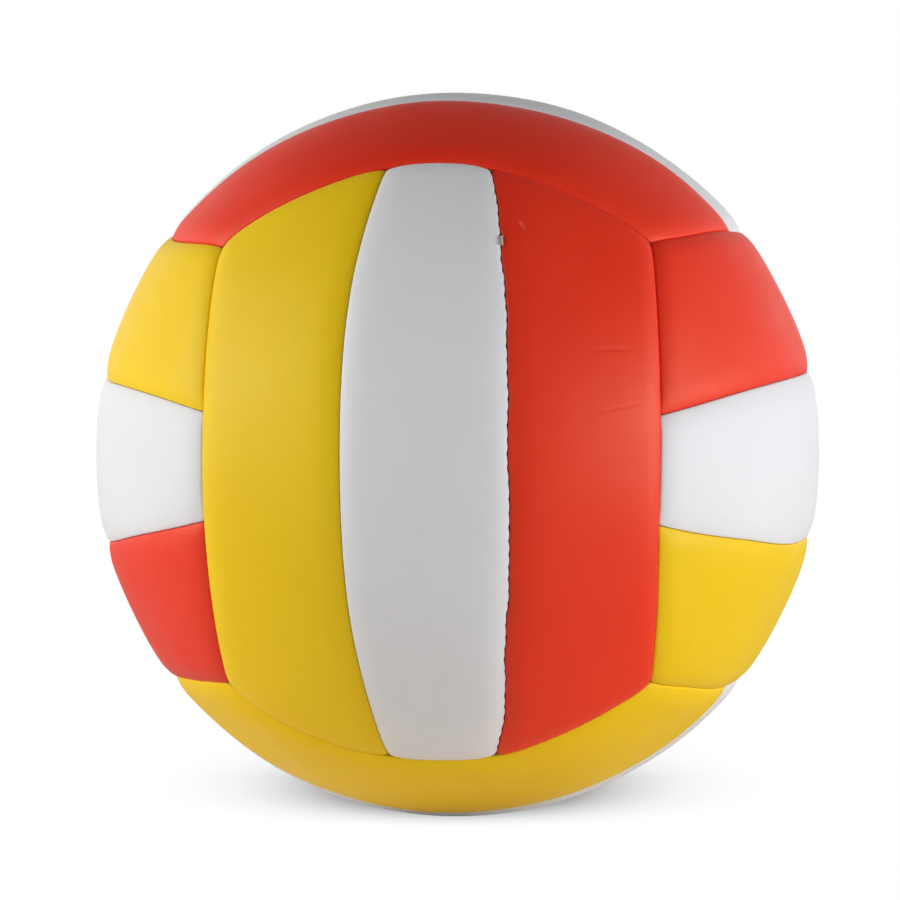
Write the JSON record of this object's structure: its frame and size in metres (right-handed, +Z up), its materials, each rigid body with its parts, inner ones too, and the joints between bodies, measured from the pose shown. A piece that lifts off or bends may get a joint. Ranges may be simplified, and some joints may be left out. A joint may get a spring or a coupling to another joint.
{
  "type": "volleyball",
  "caption": "Round sports ball with a soft cover of padded strips in yellow, white and red, laid out like a rounded cube, over an air bladder with a needle valve.",
  "frame": {"origin": "centre of the inflated ball", "axes": "+Z up through the middle of the top face, -Y towards the face that the picture shows, +Y out of the mouth of the inflation valve"},
  "size_m": [0.213, 0.213, 0.213],
  "materials": {
    "yellow_skin": "matte",
    "white_skin": "matte",
    "red_skin": "matte",
    "foam": "matte",
    "cloth": "matte",
    "grey_thread": "matte",
    "white_thread": "matte",
    "black_rubber": "matte",
    "valve_rubber": "matte"
  },
  "bodies": {
    "root": {"front_left_skin": "yellow_skin", "front_left_foam": "foam", "front_left_cloth": "cloth", "front_middle_skin": "white_skin", "front_middle_foam": "foam", "front_middle_cloth": "cloth", "front_right_skin": "red_skin", "front_right_foam": "foam", "front_right_cloth": "cloth", "back_left_skin": "red_skin", "back_left_foam": "foam", "back_left_cloth": "cloth", "back_middle_skin": "white_skin", "back_middle_foam": "foam", "back_middle_cloth": "cloth", "back_right_skin": "yellow_skin", "back_right_foam": "foam", "back_right_cloth": "cloth", "right_lower_skin": "yellow_skin", "right_lower_foam": "foam", "right_lower_cloth": "cloth", "right_middle_skin": "white_skin", "right_middle_foam": "foam", "right_middle_cloth": "cloth", "right_upper_skin": "red_skin", "right_upper_foam": "foam", "right_upper_cloth": "cloth", "left_lower_skin": "red_skin", "left_lower_foam": "foam", "left_lower_cloth": "cloth", "left_middle_skin": "white_skin", "left_middle_foam": "foam", "left_middle_cloth": "cloth", "left_upper_skin": "yellow_skin", "left_upper_foam": "foam", "left_upper_cloth": "cloth", "top_front_skin": "red_skin", "top_front_foam": "foam", "top_front_cloth": "cloth", "top_middle_skin": "white_skin", "top_middle_foam": "foam", "top_middle_cloth": "cloth", "top_back_skin": "yellow_skin", "top_back_foam": "foam", "top_back_cloth": "cloth", "bottom_front_skin": "yellow_skin", "bottom_front_foam": "foam", "bottom_front_cloth": "cloth", "bottom_middle_skin": "white_skin", "bottom_middle_foam": "foam", "bottom_middle_cloth": "cloth", "bottom_back_skin": "red_skin", "bottom_back_foam": "foam", "bottom_back_cloth": "cloth", "seam_thread": "grey_thread", "closing_thread": "white_thread", "bladder": "black_rubber", "valve_patch": "black_rubber", "valve_housing": "valve_rubber", "valve_plug": "black_rubber"}
  },
  "joints": []
}
